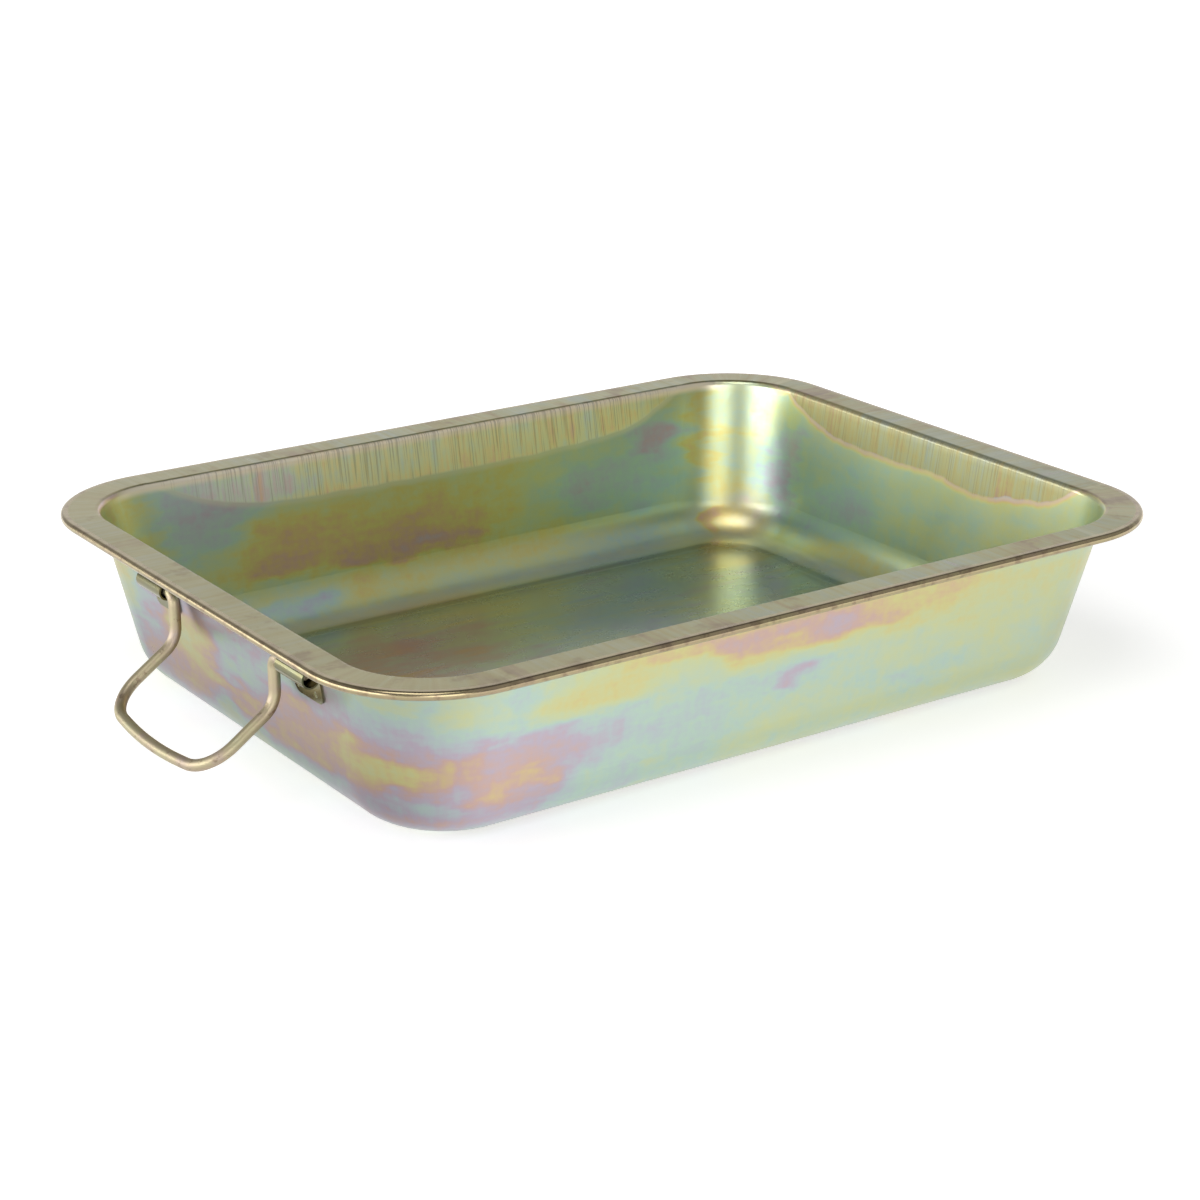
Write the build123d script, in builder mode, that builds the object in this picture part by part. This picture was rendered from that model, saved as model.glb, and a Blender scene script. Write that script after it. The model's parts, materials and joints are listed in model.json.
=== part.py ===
from build123d import *
import math
import os

# Pressed-steel tray with a rolled rim and a hinged wire bail at each end.
#
# The tray stands on z = 0. X runs along its length and Y across it. Each bail
# turns in two strap brackets that are spot-welded to the end wall.

# ---------------------------------------------------------------- dimensions
# All lengths are in millimetres and all angles in degrees.

# Pressed pan
sheet = 0.8
height = 86.0
rim_length = 453.0
rim_width = 351.5
rim_corner = 57.4
roll_radius = 2.0
roll_sweep = 265.0
mouth_length = 415.5
mouth_width = 314.1
mouth_corner = 40.7
base_length = 390.0
base_width = 286.0
base_corner = 50.0
base_fillet = 26.6
bend_radius = 2.0

# Wire bail
wire_radius = 2.75
pivot_below_rim = 16.3
leg_spacing = 97.0
stub_length = 28.8
shoulder_bend = 5.2
leg_length = 22.7
kink_angle = 55.3
kink_bend = 13.5
reach_length = 42.0
grip_bend = 18.5
grip_bow = 5.6
grip_bow_bend = 240.0
wire_end_chamfer = 0.6

# Strap bracket
strap = 0.8
strap_width = 24.4
strap_corner = 4.0
bracket_spacing = 136.6
loop_radius = 3.6
loop_gap = 0.15
foot_length = 14.4
wire_play = 0.35
weld_offsets = (-6.4, 9.0)
weld_drop = 10.6
weld_radius = 1.5
weld_depth = 0.35

# The bracket pair and the bail sit a little to one side of the centre line.
bracket_shift = -9.0
bail_shift = -6.5

# ------------------------------------------------------------ worked-out sizes
flat_length = rim_length - 2 * roll_radius
flat_width = rim_width - 2 * roll_radius
roll_z = height - roll_radius

# The end wall leans out. Its frame has u up the wall and v straight out of it.
end_slope = (mouth_length / 2 + sheet - base_length / 2) / height
end_lean = math.atan(end_slope)
outward = Vector(-math.cos(end_lean), 0, -math.sin(end_lean))
up_wall = Vector(-math.sin(end_lean), 0, math.cos(end_lean))

# The wire stands clear of the strap's inner layer, and turns about the pivot.
pivot_standoff = strap + wire_play + wire_radius
pivot_z = height - pivot_below_rim
foot_z = pivot_z + pivot_standoff * math.sin(end_lean)
foot_x = -(base_length / 2 + end_slope * foot_z)
wall_foot = Vector(foot_x, 0, foot_z)
pivot = wall_foot + outward * pivot_standoff


def drawn_tub(inset):
    """A filled tub with leaning walls, standing inset from the outer skin."""
    with BuildPart() as tub:
        with BuildSketch(Plane.XY):
            RectangleRounded(
                base_length - 2 * inset, base_width - 2 * inset, base_corner - inset
            )
        with BuildSketch(Plane.XY.offset(height)):
            spread = sheet - inset
            RectangleRounded(
                mouth_length + 2 * spread, mouth_width + 2 * spread, mouth_corner + spread
            )
        loft(ruled=True)
        split(bisect_by=Plane.XY.offset(inset), keep=Keep.TOP)
        fillet(tub.faces().sort_by(Axis.Z)[0].edges(), base_fillet - inset)
    return tub.part


def rolled_edge():
    """The C-section roll that runs once round the flange's outer edge."""
    with BuildPart() as roll:
        with BuildLine(Plane.XY.offset(roll_z)):
            FilletPolyline(
                (flat_length / 2, 0),
                (flat_length / 2, flat_width / 2),
                (0, flat_width / 2),
                radius=rim_corner,
            )
        section_centre = (flat_length / 2, 0, roll_z)
        with BuildSketch(Plane(origin=section_centre, x_dir=(1, 0, 0), z_dir=(0, -1, 0))):
            with BuildLine():
                outer = CenterArc((0, 0), roll_radius, 90, -roll_sweep)
                inner = CenterArc((0, 0), roll_radius - sheet, 90, -roll_sweep)
                Line(outer @ 0, inner @ 0)
                Line(outer @ 1, inner @ 1)
            make_face()
        sweep()
        mirror(about=Plane.XZ)
        mirror(about=Plane.YZ)
    return roll.part


def bail():
    """One bent wire: two stubs on the pivot line, two legs and a bowed grip."""
    leg_y = leg_spacing / 2
    kink = pivot - Vector(0, 0, leg_length)
    reach = Vector(-math.sin(math.radians(kink_angle)), 0, -math.cos(math.radians(kink_angle)))
    corner = kink + reach * reach_length
    bow = corner + reach * grip_bow
    half = [
        pivot + Vector(0, leg_y + stub_length, 0),
        pivot + Vector(0, leg_y, 0),
        kink + Vector(0, leg_y, 0),
        corner + Vector(0, leg_y, 0),
    ]
    other_half = [Vector(point.X, -point.Y, point.Z) for point in reversed(half)]
    bends = [shoulder_bend, kink_bend, grip_bend]
    with BuildPart() as wire:
        with BuildLine() as route:
            FilletPolyline(
                *half,
                bow,
                *other_half,
                radius=bends + [grip_bow_bend] + bends[::-1],
            )
        with BuildSketch(Plane(origin=half[0], z_dir=route.line % 0)):
            Circle(wire_radius)
        sweep()
        ends = wire.faces().sort_by(Axis.Y)
        chamfer(ends[0].edges() + ends[-1].edges(), wire_end_chamfer)
    return wire.part


def bracket():
    """One strap: a foot flat on the wall and a loop rolled round the wire."""
    loop_outer = loop_radius + strap
    seam_height = loop_outer - strap - loop_gap
    seam_sweep = 360 - math.degrees(math.acos(seam_height / loop_outer))
    side = wall_foot + Vector(0, strap_width / 2, 0)
    with BuildPart() as folded:
        with BuildSketch(Plane(origin=side, x_dir=up_wall, z_dir=(0, -1, 0))):
            with BuildLine():
                skin = CenterArc((0, loop_outer), loop_outer, -90, seam_sweep)
                lining = CenterArc((0, loop_outer), loop_radius, -90, seam_sweep)
                Line(skin @ 1, lining @ 1)
                Polyline(
                    skin @ 0, (-foot_length, 0), (-foot_length, strap), lining @ 0
                )
            make_face()
        extrude(amount=strap_width)
        foot_end = folded.edges().filter_by(Axis(wall_foot, outward)).group_by(Axis.Z)[0]
        fillet(foot_end, strap_corner)
        weld_sphere = (weld_radius**2 + weld_depth**2) / (2 * weld_depth)
        weld_centre = wall_foot - up_wall * weld_drop
        weld_centre += outward * (strap - weld_depth + weld_sphere)
        with Locations(*[weld_centre + Vector(0, offset, 0) for offset in weld_offsets]):
            Sphere(weld_sphere, rotation=(0, 0, 180), mode=Mode.SUBTRACT)
    return folded.part


with BuildPart() as pan:
    add(drawn_tub(0))
    with BuildSketch(Plane.XY.offset(height - sheet)):
        RectangleRounded(flat_length, flat_width, rim_corner)
    extrude(amount=sheet)
    flange_underside = pan.faces().filter_by(Plane.XY).sort_by(Axis.Z)[-2]
    fillet(flange_underside.inner_wires()[0].edges(), bend_radius)
    add(drawn_tub(sheet), mode=Mode.SUBTRACT)
    flange_top = pan.faces().filter_by(Plane.XY).sort_by(Axis.Z)[-1]
    fillet(flange_top.inner_wires()[0].edges(), bend_radius + sheet)
    add(rolled_edge())

pan.part.label = "pan"
os.makedirs("parts", exist_ok=True)
export_step(pan.part, "parts/pan.step")

# The right end is the left end turned half round, as one jig sets up both.
wire_shape = bail()
strap_shape = bracket()
bracket_places = {
    "left": {"front": -bracket_spacing / 2, "rear": bracket_spacing / 2},
    "right": {"rear": -bracket_spacing / 2, "front": bracket_spacing / 2},
}
for end, turn in (("left", 0), ("right", 180)):
    half_turn = Location((0, 0, 0), (0, 0, turn))
    with BuildPart() as handle:
        with Locations(half_turn * Location((0, bail_shift, 0))):
            add(wire_shape)
    handle.part.label = f"{end}_bail"
    export_step(handle.part, f"parts/{end}_bail.step")
    for side, offset in bracket_places[end].items():
        with BuildPart() as holder:
            with Locations(half_turn * Location((0, bracket_shift + offset, 0))):
                add(strap_shape)
        holder.part.label = f"{end}_{side}_bracket"
        export_step(holder.part, f"parts/{end}_{side}_bracket.step")
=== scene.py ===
import bpy
import json
import math
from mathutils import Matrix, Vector


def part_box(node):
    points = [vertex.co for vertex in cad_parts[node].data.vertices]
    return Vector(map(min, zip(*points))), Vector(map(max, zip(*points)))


# A zinc-plated tray on a pale floor. The plating carries a yellow passivation
# film. Where the film is thicker or thinner it shows another colour, in the
# order pale green, gold, pink, lavender, teal and pale green again. Each
# material is a film depth field, where 1.0 is once through that order.
# All lengths are in metres.

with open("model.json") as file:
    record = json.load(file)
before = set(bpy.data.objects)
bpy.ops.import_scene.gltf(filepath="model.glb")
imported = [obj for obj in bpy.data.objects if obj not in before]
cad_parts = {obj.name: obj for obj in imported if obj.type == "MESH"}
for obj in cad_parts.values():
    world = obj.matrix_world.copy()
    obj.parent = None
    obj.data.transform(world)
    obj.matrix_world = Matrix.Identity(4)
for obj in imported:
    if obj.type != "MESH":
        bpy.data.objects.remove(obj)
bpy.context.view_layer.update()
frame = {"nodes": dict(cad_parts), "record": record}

# ------------------------------------------------------------------ measures
roll_radius = 0.002
flange_corner = 0.0574
roll_start = flange_corner - roll_radius
pan_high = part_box("pan")[1]
corner_x = pan_high[0] - flange_corner - roll_radius
corner_y = pan_high[1] - flange_corner - roll_radius


# ------------------------------------------------------------- node shorthand
class Shader:
    """A material's node tree, with short calls for the nodes used here."""

    def __init__(self, name):
        self.material = bpy.data.materials.new(name)
        self.material.use_nodes = True
        self.tree = self.material.node_tree
        self.tree.nodes.clear()
        coordinates = self.node("ShaderNodeTexCoord")
        self.point = coordinates.outputs["Object"]
        self.normal = coordinates.outputs["Normal"]

    def node(self, kind, **settings):
        made = self.tree.nodes.new(kind)
        for key, value in settings.items():
            setattr(made, key, value)
        return made

    def feed(self, socket, value):
        if isinstance(value, bpy.types.NodeSocket):
            self.tree.links.new(value, socket)
        else:
            socket.default_value = value

    def maths(self, operation, *values, clamp=False):
        made = self.node("ShaderNodeMath", operation=operation, use_clamp=clamp)
        for socket, value in zip(made.inputs, values):
            self.feed(socket, value)
        return made.outputs["Value"]

    def add(self, *values):
        total = values[0]
        for value in values[1:]:
            total = self.maths("ADD", total, value)
        return total

    def times(self, *values):
        total = values[0]
        for value in values[1:]:
            total = self.maths("MULTIPLY", total, value)
        return total

    def rest(self, share):
        """What is left of one after the share."""
        return self.maths("SUBTRACT", 1.0, share)

    def swing(self, noise, amount):
        """The noise as a number that goes up to half the amount either way."""
        return self.times(self.maths("SUBTRACT", noise, 0.5), amount)

    def vector(self, operation, *values):
        made = self.node("ShaderNodeVectorMath", operation=operation)
        sockets = [made.inputs[0], made.inputs[1], made.inputs[2]]
        for socket, value in zip(sockets, values):
            self.feed(socket, value)
        scalar = operation in ("LENGTH", "DOT_PRODUCT", "DISTANCE")
        return made.outputs["Value" if scalar else "Vector"]

    def split(self, vector):
        made = self.node("ShaderNodeSeparateXYZ")
        self.feed(made.inputs[0], vector)
        return made.outputs["X"], made.outputs["Y"], made.outputs["Z"]

    def join(self, x, y, z):
        made = self.node("ShaderNodeCombineXYZ")
        for socket, value in zip(made.inputs, (x, y, z)):
            self.feed(socket, value)
        return made.outputs["Vector"]

    def noise(self, point, scale, detail=3.0, rough=0.5, drift=None, colour=False):
        made = self.node("ShaderNodeTexNoise")
        made.noise_dimensions = "3D" if drift is None else "4D"
        self.feed(made.inputs["Vector"], point)
        self.feed(made.inputs["Scale"], scale)
        self.feed(made.inputs["Detail"], detail)
        self.feed(made.inputs["Roughness"], rough)
        if drift is not None:
            self.feed(made.inputs["W"], drift)
        return made.outputs["Color" if colour else "Fac"]

    def ease(self, value, start, end, first=0.0, last=1.0):
        """Goes smoothly from first to last as value goes from start to end."""
        made = self.node("ShaderNodeMapRange", interpolation_type="SMOOTHSTEP")
        for name, given in zip(
            ("Value", "From Min", "From Max", "To Min", "To Max"),
            (value, start, end, first, last),
        ):
            self.feed(made.inputs[name], given)
        return made.outputs["Result"]

    def mix(self, share, first, second):
        """A number between first and second, or past them."""
        made = self.node("ShaderNodeMix", data_type="FLOAT", clamp_factor=False)
        self.feed(made.inputs[0], share)
        self.feed(made.inputs[2], first)
        self.feed(made.inputs[3], second)
        return made.outputs[0]

    def tint(self, share, first, second, blend="MIX"):
        made = self.node("ShaderNodeMix", data_type="RGBA", blend_type=blend)
        self.feed(made.inputs[0], share)
        self.feed(made.inputs[6], first)
        self.feed(made.inputs[7], second)
        return made.outputs[2]

    def richer(self, colour, saturation, value):
        made = self.node("ShaderNodeHueSaturation")
        self.feed(made.inputs["Color"], colour)
        self.feed(made.inputs["Saturation"], saturation)
        self.feed(made.inputs["Value"], value)
        return made.outputs["Color"]

    def ramp(self, value, stops):
        made = self.node("ShaderNodeValToRGB")
        elements = made.color_ramp.elements
        while len(elements) < len(stops):
            elements.new(1.0)
        for element, (place, colour) in zip(elements, stops):
            element.position = place
            element.color = colour
        self.feed(made.inputs["Fac"], value)
        return made.outputs["Color"]

    def bump(self, height, strength, depth, under=None):
        made = self.node("ShaderNodeBump")
        self.feed(made.inputs["Height"], height)
        self.feed(made.inputs["Strength"], strength)
        self.feed(made.inputs["Distance"], depth)
        if under is not None:
            self.feed(made.inputs["Normal"], under)
        return made.outputs["Normal"]

    def finish(self, colour, rough, normal, metallic=1.0):
        surface = self.node("ShaderNodeBsdfPrincipled")
        self.feed(surface.inputs["Base Color"], colour)
        self.feed(surface.inputs["Roughness"], rough)
        self.feed(surface.inputs["Metallic"], metallic)
        if normal is not None:
            self.feed(surface.inputs["Normal"], normal)
        output = self.node("ShaderNodeOutputMaterial")
        self.tree.links.new(surface.outputs["BSDF"], output.inputs["Surface"])
        return self.material


def shade(red, green, blue):
    """A screen colour, 0 to 255, as the linear colour that Blender takes."""
    def linear(value):
        value /= 255
        return value / 12.92 if value <= 0.04045 else ((value + 0.055) / 1.055) ** 2.4
    return (linear(red), linear(green), linear(blue), 1.0)


# -------------------------------------------------------------- film colours
PALE_GREEN = shade(189, 203, 177)
GREEN_GOLD = shade(198, 204, 160)
GOLD = shade(206, 199, 142)
ORANGE = shade(206, 184, 146)
PINK = shade(200, 171, 163)
LAVENDER = shade(187, 175, 189)
STEEL_BLUE = shade(181, 192, 195)
TEAL = shade(180, 202, 190)

FILM_ORDER = [
    (0.00, PALE_GREEN),
    (0.14, GREEN_GOLD),
    (0.28, GOLD),
    (0.40, ORANGE),
    (0.52, PINK),
    (0.66, LAVENDER),
    (0.80, STEEL_BLUE),
    (0.91, TEAL),
    (1.00, PALE_GREEN),
]

# Places on the pan where the film is thicker or thinner: the middle of each
# patch, its reach along X, Y and Z, and the film depth there.
FILM_PATCHES = [
    # outside, front wall
    ((0.045, -0.155, 0.066), (0.190, 0.05, 0.024), 0.27),
    ((0.000, -0.155, 0.070), (0.110, 0.05, 0.016), 0.54),
    ((-0.105, -0.155, 0.059), (0.075, 0.05, 0.010), 0.22),
    ((0.030, -0.150, 0.038), (0.110, 0.05, 0.022), -0.10),
    ((0.002, -0.150, 0.041), (0.018, 0.05, 0.008), -0.30),
    ((-0.050, -0.150, 0.036), (0.016, 0.05, 0.036), 0.06),
    ((0.140, -0.150, 0.045), (0.055, 0.05, 0.045), 0.10),
    ((-0.090, -0.150, 0.030), (0.080, 0.05, 0.022), -0.12),
    ((-0.125, -0.150, 0.036), (0.045, 0.05, 0.016), -0.34),
    ((-0.165, -0.145, 0.034), (0.055, 0.05, 0.018), -0.44),
    ((-0.145, -0.145, 0.022), (0.036, 0.05, 0.010), -0.62),
    ((-0.170, -0.140, 0.068), (0.050, 0.05, 0.020), -0.08),
    ((-0.150, -0.135, 0.010), (0.070, 0.05, 0.014), -0.32),
    # outside, left wall
    ((-0.205, 0.010, 0.042), (0.030, 0.200, 0.060), -0.44),
    ((-0.205, 0.010, 0.026), (0.030, 0.150, 0.018), -0.56),
    ((-0.200, -0.115, 0.036), (0.040, 0.060, 0.020), -0.46),
    ((-0.200, -0.116, 0.036), (0.040, 0.046, 0.014), -0.66),
    ((-0.200, -0.040, 0.024), (0.030, 0.040, 0.012), -0.60),
    ((-0.200, 0.060, 0.046), (0.030, 0.040, 0.016), -0.66),
    ((-0.200, -0.060, 0.056), (0.030, 0.040, 0.012), -0.10),
    ((-0.195, -0.030, 0.008), (0.050, 0.160, 0.010), -0.14),
    # inside, rear wall
    ((-0.050, 0.150, 0.052), (0.200, 0.05, 0.040), 0.25),
    ((-0.060, 0.150, 0.036), (0.110, 0.05, 0.014), 0.38),
    ((-0.085, 0.148, 0.028), (0.060, 0.05, 0.009), 0.50),
    ((-0.010, 0.147, 0.025), (0.050, 0.05, 0.009), 0.48),
    ((0.120, 0.150, 0.044), (0.070, 0.05, 0.032), -0.16),
    ((0.138, 0.155, 0.062), (0.026, 0.05, 0.018), -0.40),
    ((-0.150, 0.150, 0.064), (0.040, 0.05, 0.030), -0.22),
    ((-0.110, 0.158, 0.078), (0.070, 0.05, 0.020), -0.24),
    ((-0.200, 0.135, 0.060), (0.030, 0.04, 0.080), 0.24),
    ((0.050, 0.145, 0.018), (0.100, 0.05, 0.008), 0.24),
    ((0.000, 0.142, 0.010), (0.110, 0.05, 0.012), 0.26),
    ((-0.100, 0.142, 0.008), (0.036, 0.05, 0.005), -0.22),
    # inside, far corner
    ((0.176, 0.150, 0.055), (0.010, 0.04, 0.060), 0.24),
    ((0.182, 0.128, 0.012), (0.026, 0.03, 0.012), 0.28),
    ((0.175, 0.132, 0.012), (0.008, 0.03, 0.010), 0.48),
    ((0.190, 0.140, 0.030), (0.030, 0.04, 0.012), 0.20),
    # inside, right wall
    ((0.200, 0.108, 0.045), (0.04, 0.016, 0.040), -0.28),
    ((0.200, 0.055, 0.040), (0.04, 0.045, 0.036), -0.12),
    ((0.200, -0.090, 0.052), (0.04, 0.070, 0.036), 0.10),
    ((0.190, 0.030, 0.006), (0.03, 0.100, 0.010), 0.26),
    # floor
    ((0.000, 0.000, 0.000), (0.260, 0.200, 0.02), -0.06),
    ((-0.100, 0.030, 0.000), (0.090, 0.080, 0.02), -0.52),
]


def film_colour(shader, depth):
    """The colour of the film for a depth, which wraps round at whole numbers."""
    return shader.ramp(shader.maths("FRACT", depth), FILM_ORDER)


def wandering(shader, point):
    """The point pushed about by slow and fine noise, so that edges wander."""
    middle = (0.5, 0.5, 0.5)
    slow = shader.vector("SUBTRACT", shader.noise(point, 13.0, colour=True), middle)
    drawn_out = shader.vector("MULTIPLY", point, (0.35, 0.35, 1.6))
    fine = shader.vector("SUBTRACT", shader.noise(drawn_out, 80.0, 2.0, 0.5, colour=True), middle)
    slow = shader.vector("MULTIPLY", slow, (0.080, 0.080, 0.030))
    fine = shader.vector("MULTIPLY", fine, (0.044, 0.044, 0.016))
    return shader.vector("ADD", point, shader.vector("ADD", slow, fine))


def patched(shader, point, depth, patches):
    """The film depth with each patch laid over the ones before it."""
    for middle, reach, target in patches:
        away = shader.vector("SUBTRACT", point, middle)
        away = shader.vector("LENGTH", shader.vector("DIVIDE", away, reach))
        depth = shader.mix(shader.ease(away, 1.15, 0.20), depth, target)
    return depth


class PanZones:
    """Where a point lies on the pan, and a mask from 0 to 1 for each zone."""

    def __init__(self, s):
        self.x, self.y, self.z = s.split(s.point)
        normal_x, normal_y, normal_z = s.split(s.normal)

        # Where the point is round the pan, and how far out it is from the
        # rectangle that joins the flange's corner centres.
        core_x = s.maths("MINIMUM", s.maths("MAXIMUM", self.x, -corner_x), corner_x)
        core_y = s.maths("MINIMUM", s.maths("MAXIMUM", self.y, -corner_y), corner_y)
        out_x = s.maths("SUBTRACT", self.x, core_x)
        out_y = s.maths("SUBTRACT", self.y, core_y)
        self.out = s.vector("LENGTH", s.join(out_x, out_y, 0.0))
        turn = s.times(s.maths("ARCTAN2", out_y, out_x), flange_corner)
        self.around = s.join(core_x, core_y, turn)

        # Sides and ends. The outside of a wall faces away from the middle.
        facing = s.add(s.times(out_x, normal_x), s.times(out_y, normal_y))
        self.inside = s.ease(facing, 0.004, -0.004)
        outside = s.rest(self.inside)
        self.on_end = s.ease(s.maths("ABSOLUTE", out_x), 0.012, 0.024)
        self.left_end = s.times(s.ease(self.x, -0.150, -0.205), outside)
        bright_corner = s.times(s.ease(self.x, 0.155, 0.170), s.ease(self.y, 0.095, 0.115))
        far_half = s.times(s.ease(self.x, 0.04, 0.13), self.inside)
        self.far_end = s.times(far_half, s.rest(bright_corner))

        # The roll, the flange, the bend inside the flange, which gets a painted highlight, and
        # the floor.
        self.on_roll = s.ease(self.out, roll_start, roll_start + 0.0006)
        high = s.ease(self.z, 0.0800, 0.0835)
        flat = s.ease(s.maths("ABSOLUTE", normal_z), 0.75, 0.95)
        self.on_flange = s.times(flat, high)
        self.bend_highlight = s.times(high, self.inside, s.rest(flat))
        self.on_floor = s.times(flat, s.ease(self.z, 0.0040, 0.0015))

        # A dark ring and a pale one round the floor, and painted contact shade along the outside
        # bottom edge.
        dark = s.times(s.ease(self.z, 0.00082, 0.00096), s.ease(self.z, 0.0017, 0.0012))
        pale = s.times(s.ease(self.z, 0.0014, 0.0022), s.ease(self.z, 0.0060, 0.0034))
        self.dark_ring = s.times(dark, self.inside)
        self.pale_ring = s.times(pale, self.inside)
        self.bottom_edge_shade = s.times(s.ease(self.z, 0.0044, 0.0018), s.ease(facing, 0.0008, 0.0024))

        # The draw marks lie inside, above a bowed line that rises to the corners.
        long_side = s.maths("POWER", s.maths("ABSOLUTE", s.times(core_x, 6.3)), 5.0)
        short_side = s.maths("POWER", s.maths("ABSOLUTE", s.times(core_y, 8.6)), 5.0)
        rise = s.times(s.mix(self.on_end, long_side, short_side), 0.020)
        waver = s.times(s.noise(self.around, 22.0, 3.0), s.mix(self.on_end, 0.006, 0.014))
        line_z = s.add(rise, s.mix(self.on_end, 0.0605, 0.0600), waver)
        self.above = s.maths("SUBTRACT", self.z, line_z)
        drawn = s.times(s.ease(self.above, -0.0006, 0.0008), self.inside, s.rest(self.on_flange))
        fading = s.ease(long_side, 0.10, 0.80, 1.0, 0.35)
        self.drawn = s.times(drawn, s.mix(self.on_end, fading, 1.0))
        # A band round the draw line, which gets a painted highlight.
        band = s.times(s.ease(self.above, -0.0040, -0.0006), s.ease(self.above, 0.0012, 0.0))
        self.line = s.times(band, self.inside)
        self.streaked = s.maths("MAXIMUM", self.drawn, s.times(self.on_flange, 0.9))


class PanNoises:
    """The noises that more than one of the pan's colour, gloss and relief use."""

    def __init__(self, s, zones):
        self.cloud = s.noise(s.point, 26.0, 5.0, 0.6)
        self.fleck = s.noise(s.point, 240.0, 1.5, 0.6)

        # Streaks run across the wall's length and barely change up it.
        climb = s.times(s.add(zones.z, zones.out), 0.05)
        self.broad_streak = s.noise(zones.around, 80.0, 3.0, 0.65, drift=s.times(climb, 4.0))
        self.fine_streak = s.noise(zones.around, 420.0, 1.0, 0.6, drift=climb)
        thread = s.noise(zones.around, 1300.0, 1.0, 0.5, drift=s.times(climb, 0.4))
        denser_upward = s.times(s.add(zones.above, -0.012), 4.0)
        self.thread = s.ease(s.add(thread, denser_upward), 0.48, 0.68)


def pan_film_depth(s, zones, noises):
    """The depth of the film: patches, smears, streaks and fine variation."""
    smear = s.noise(s.vector("MULTIPLY", s.point, (1.0, 1.0, 3.2)), 15.0, 4.0, 0.62)
    rubbed = s.noise(s.vector("MULTIPLY", s.point, (1.0, 9.0, 9.0)), 11.0, 5.0, 0.65)
    depth = patched(s, wandering(s, s.point), 0.02, FILM_PATCHES)
    depth = s.add(depth, s.swing(smear, s.mix(zones.left_end, 0.70, 1.15)))
    depth = s.add(depth, s.swing(rubbed, s.times(zones.on_floor, 1.1)))
    depth = s.mix(zones.on_flange, depth, s.add(s.times(noises.cloud, 0.9), -0.32))
    depth = s.mix(zones.on_roll, depth, 0.36)
    depth = s.add(depth, s.swing(noises.cloud, 0.25))
    depth = s.add(depth, s.swing(noises.broad_streak, s.mix(zones.streaked, 0.30, 1.10)))
    depth = s.add(depth, s.swing(noises.fleck, 0.20))
    depth = s.add(depth, s.swing(noises.fine_streak, s.times(zones.streaked, 0.60)))
    return s.add(depth, s.times(zones.line, zones.on_end, 0.40), s.times(zones.drawn, 0.10))


def pan_tone_and_painted_light(s, zones):
    """How bright the film is from zone to zone, with painted shade and painted sheen."""
    bright = s.mix(zones.far_end, s.ease(zones.x, 0.0, 0.2, 1.0, 0.93), 0.84)
    # Painted shade on the outside of the left end, darker towards the bottom.
    bright = s.mix(zones.left_end, bright, s.ease(zones.z, 0.010, 0.060, 0.46, 0.66))
    bright = s.mix(zones.on_floor, bright, 1.30)
    bright = s.mix(zones.on_flange, bright, s.ease(zones.x, 0.10, 0.22, 0.54, 0.46))
    # The draw marks: paler rubbed metal with painted sheen on the long walls, darker on the ends.
    return s.mix(zones.drawn, bright, s.mix(zones.on_end, 1.50, 0.52))


def pan_wear_and_painted_light(s, zones, noises, colour):
    """The colour with rubbed metal, stains, wear, painted highlights and painted shade laid over
    it, in this order.
    """
    gathered = s.vector("DISTANCE", s.point, (0.182, 0.127, 0.010))
    worn = s.ease(s.noise(s.point, 120.0, 3.0, 0.6), 0.50, 0.64)
    scuffed = s.times(s.ease(noises.broad_streak, 0.52, 0.60), s.ease(noises.cloud, 0.44, 0.56))
    smudged = s.ease(s.noise(s.point, 52.0, 4.0, 0.65), 0.54, 0.66)
    flange_stain = s.ease(zones.x, 0.05, -0.20, 0.45, 0.75)
    layers = [
        # rubbed metal in the draw marks, and a painted highlight on the line below them
        (s.times(zones.drawn, s.mix(zones.on_end, 0.45, 0.15)), shade(232, 216, 184)),
        (s.times(zones.line, s.mix(zones.on_end, 0.50, 0.30)), shade(218, 218, 192)),
        # the flange, a painted highlight along the bend inside it, and the floor
        (s.times(zones.on_flange, flange_stain), shade(150, 141, 106)),
        (s.times(zones.bend_highlight, s.mix(zones.on_end, 0.80, 0.10)), shade(250, 236, 214)),
        (s.times(zones.on_floor, 0.50), shade(180, 180, 178)),
        # thick yellow film in the far corner's bend
        (s.ease(gathered, 0.028, 0.006, 0.0, 0.55), shade(220, 192, 128)),
        # painted contact shade on the bottom edge, and a dark and a pale ring round the floor
        (s.times(zones.bottom_edge_shade, 0.60), shade(132, 118, 98)),
        (s.times(zones.dark_ring, 0.50), shade(92, 108, 96)),
        (s.times(zones.pale_ring, 0.40), shade(232, 238, 226)),
        # the roll, plain and worn
        (s.times(zones.on_roll, 0.65), shade(154, 140, 114)),
        (s.times(worn, zones.on_roll, 0.50), shade(120, 102, 82)),
        # fine dark threads in the draw marks, and marks on the flange
        (s.times(noises.thread, zones.drawn, 0.34), shade(122, 104, 76)),
        (s.times(scuffed, zones.on_flange, 0.28), shade(130, 112, 100)),
        (s.times(smudged, zones.on_flange, 0.55), shade(130, 116, 90)),
    ]
    for share, over in layers:
        colour = s.tint(share, colour, over)
    return colour


def pan_roughness(s, zones, noises):
    rough = s.add(s.mix(zones.inside, 0.31, 0.35), s.swing(noises.cloud, 0.16))
    rough = s.add(rough, s.times(zones.drawn, 0.08))
    rough = s.add(rough, s.times(zones.on_floor, -0.06), s.times(zones.on_roll, -0.09))
    return s.add(rough, s.swing(noises.fine_streak, s.times(zones.streaked, 0.20)))


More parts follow.
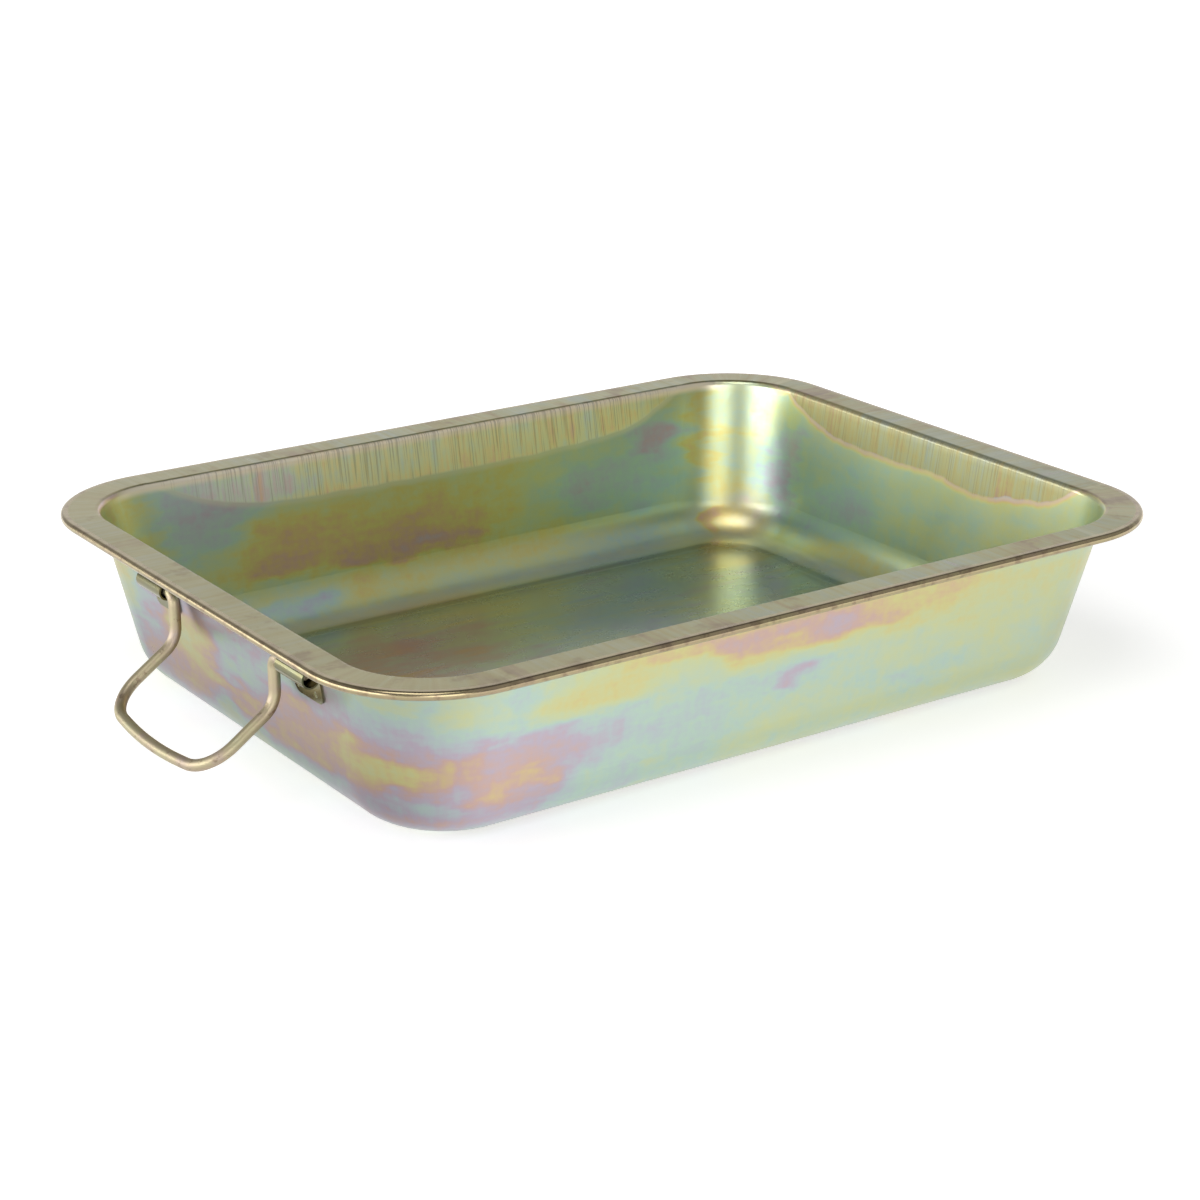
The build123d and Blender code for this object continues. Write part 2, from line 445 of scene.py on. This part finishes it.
def pan_relief(s, zones, noises):
    """Small waves in the sheet, the lines of the draw marks, and the grain."""
    sway = s.noise(s.point, 16.0, 1.0, 0.4)
    normal = s.bump(sway, 0.20, 0.0030)
    lines = s.times(s.add(noises.fine_streak, s.times(noises.thread, -0.4)), zones.drawn)
    normal = s.bump(lines, 0.25, 0.00006, normal)
    grain = s.noise(s.vector("MULTIPLY", s.point, (1.0, 14.0, 14.0)), 50.0, 0.0, 0.5)
    grain = s.times(grain, s.mix(zones.on_floor, 1.0, 0.35))
    return s.bump(s.add(grain, s.times(noises.fleck, 0.5)), 0.10, 0.00008, normal)


def pan_plating():
    """The pressed sheet: film patches, draw marks, rolling grain, wear, and painted highlights
    and shade.
    """
    s = Shader("pan_plating")
    zones = PanZones(s)
    noises = PanNoises(s, zones)
    colour = film_colour(s, pan_film_depth(s, zones, noises))
    colour = s.richer(colour, s.mix(zones.inside, 1.0, 1.15), pan_tone_and_painted_light(s, zones))
    colour = pan_wear_and_painted_light(s, zones, noises, colour)
    rough = pan_roughness(s, zones, noises)
    return s.finish(colour, rough, pan_relief(s, zones, noises))


def wire_plating():
    """Drawn wire: tan film, lengthwise rubbing and small nicks."""
    s = Shader("wire_plating")
    cloud = s.noise(s.point, 70.0, 4.0, 0.6)
    fleck = s.noise(s.point, 600.0, 3.0, 0.6)
    depth = s.add(0.36, s.swing(cloud, 0.9), s.swing(fleck, 0.25))
    colour = s.tint(0.70, film_colour(s, depth), shade(156, 148, 130))
    nick = s.ease(s.noise(s.point, 210.0, 3.0, 0.7), 0.58, 0.66)
    colour = s.tint(s.times(nick, 0.60), colour, shade(124, 106, 86))
    rough = s.add(0.48, s.swing(cloud, 0.2))
    normal = s.bump(fleck, 0.20, 0.0002)
    normal = s.bump(nick, -0.4, 0.0002, normal)
    return s.finish(colour, rough, normal)


def bracket_plating():
    """Folded strip: a glossier, yellower film with a brushed grain."""
    s = Shader("bracket_plating")
    cloud = s.noise(s.point, 90.0, 3.0, 0.5)
    stretched = s.vector("MULTIPLY", s.point, (12.0, 1.0, 12.0))
    grain = s.noise(stretched, 110.0, 4.0, 0.6)
    depth = s.add(0.20, s.swing(cloud, 0.6), s.swing(grain, 0.2))
    colour = s.tint(0.82, film_colour(s, depth), shade(84, 78, 52))
    rough = s.add(0.15, s.swing(grain, 0.12))
    normal = s.bump(grain, 0.15, 0.0001)
    return s.finish(colour, rough, normal)


def dress_nodes():
    """Gives each node of the frame the finish of its material slot."""
    makers = {
        "pan_plating": pan_plating(),
        "wire_plating": wire_plating(),
        "bracket_plating": bracket_plating(),
    }
    for entry in frame["record"]["subparts"]:
        piece = frame["nodes"][entry["node"]]
        piece.data.materials.clear()
        piece.data.materials.append(makers[entry["material_slot"]])


# -------------------------------------------------------------------- studio
def floor():
    s = Shader("underlit_floor")
    material = s.finish(shade(228, 228, 228), 0.9, None, metallic=0.0)
    surface = s.tree.nodes["Principled BSDF"]
    surface.inputs["Emission Color"].default_value = (1.0, 1.0, 1.0, 1.0)
    glow = s.ease(s.vector("LENGTH", s.point), 0.26, 0.7, 0.54, 0.95)
    s.feed(surface.inputs["Emission Strength"], glow)
    bpy.ops.mesh.primitive_circle_add(vertices=64, radius=30.0, fill_type="NGON")
    sheet = bpy.context.object
    sheet.name = "studio_floor"
    sheet.data.materials.append(material)


def softbox(name, place, target, width, height, power):
    light = bpy.data.lights.new(name, "AREA")
    light.shape = "RECTANGLE"
    light.size = width
    light.size_y = height
    light.energy = power
    lamp = bpy.data.objects.new(name, light)
    bpy.context.collection.objects.link(lamp)
    lamp.location = place
    aim = Vector(target) - Vector(place)
    lamp.rotation_euler = aim.to_track_quat("-Z", "Y").to_euler()


# The room's brightness for the height that a ray points to, from level to
# straight up.
SKY_LEVELS = [(0.0, 1.0), (0.05, 1.0), (0.12, 0.80), (0.34, 0.66), (0.56, 0.28), (0.85, 0.16)]

# Darker and brighter parts of the room: the way to the middle of each, how
# near a ray comes before it shows and before it is full, and its brightness.
# They fade out just above the horizon, where the room stays pale.
SKY_PATCHES = [
    ((0.60, -0.75, 0.20), 0.40, 0.90, 0.20),
    ((0.53, -0.50, 0.62), 0.76, 0.93, 0.46),
    ((0.53, 0.84, 0.12), 0.70, 0.97, 1.10),
    ((-0.50, 0.80, 0.30), 0.70, 0.95, 0.48),
    ((-0.55, -0.80, 0.25), 0.75, 0.95, 0.50),
]


def sky():
    """A pale room, darker overhead, with darker and brighter sides."""
    world = bpy.data.worlds.new("studio")
    bpy.context.scene.world = world
    world.use_nodes = True
    tree = world.node_tree
    tree.nodes.clear()
    direction = tree.nodes.new("ShaderNodeTexCoord").outputs["Generated"]
    parts = tree.nodes.new("ShaderNodeSeparateXYZ")
    tree.links.new(direction, parts.inputs[0])
    ramp = tree.nodes.new("ShaderNodeValToRGB")
    elements = ramp.color_ramp.elements
    while len(elements) < len(SKY_LEVELS):
        elements.new(1.0)
    for element, (height, level) in zip(elements, SKY_LEVELS):
        element.position = height
        element.color = (level, level, level, 1.0)
    tree.links.new(parts.outputs["Z"], ramp.inputs["Fac"])
    light = ramp.outputs["Color"]
    above_horizon = tree.nodes.new("ShaderNodeMapRange")
    above_horizon.inputs["From Min"].default_value = 0.04
    above_horizon.inputs["From Max"].default_value = 0.10
    tree.links.new(parts.outputs["Z"], above_horizon.inputs["Value"])
    for middle, shows, full, level in SKY_PATCHES:
        towards = tree.nodes.new("ShaderNodeVectorMath")
        towards.operation = "DOT_PRODUCT"
        tree.links.new(direction, towards.inputs[0])
        towards.inputs[1].default_value = Vector(middle).normalized()
        share = tree.nodes.new("ShaderNodeMapRange")
        share.interpolation_type = "SMOOTHSTEP"
        share.inputs["From Min"].default_value = shows
        share.inputs["From Max"].default_value = full
        tree.links.new(above_horizon.outputs["Result"], share.inputs["To Max"])
        tree.links.new(towards.outputs["Value"], share.inputs["Value"])
        patch = tree.nodes.new("ShaderNodeMix")
        patch.data_type = "RGBA"
        tree.links.new(share.outputs["Result"], patch.inputs[0])
        tree.links.new(light, patch.inputs[6])
        patch.inputs[7].default_value = (level, level, level, 1.0)
        light = patch.outputs[2]
    background = tree.nodes.new("ShaderNodeBackground")
    tree.links.new(light, background.inputs["Color"])
    output = tree.nodes.new("ShaderNodeOutputWorld")
    tree.links.new(background.outputs["Background"], output.inputs["Surface"])


def camera():
    lens = bpy.data.cameras.new("camera")
    lens.lens = 81.17
    lens.sensor_width = 36.0
    seen = bpy.data.objects.new("camera", lens)
    bpy.context.collection.objects.link(seen)
    seen.location = (-0.7117, -1.0368, 0.4848)
    seen.rotation_euler = (math.radians(70.375), math.radians(0.124), math.radians(-34.477))
    bpy.context.scene.camera = seen


dress_nodes()
floor()
sky()
softbox("top_softbox", (-0.8, -0.5, 2.2), (0, 0, 0), 1.4, 1.2, 16)
softbox("left_softbox", (-2.05, 0.60, 0.50), (0.1, 0.05, 0.05), 3.6, 0.9, 38)
softbox("front_softbox", (-0.85, -2.10, 0.50), (0.1, 0.05, 0.05), 1.3, 0.9, 12)
camera()
bpy.context.scene.view_settings.view_transform = "Standard"
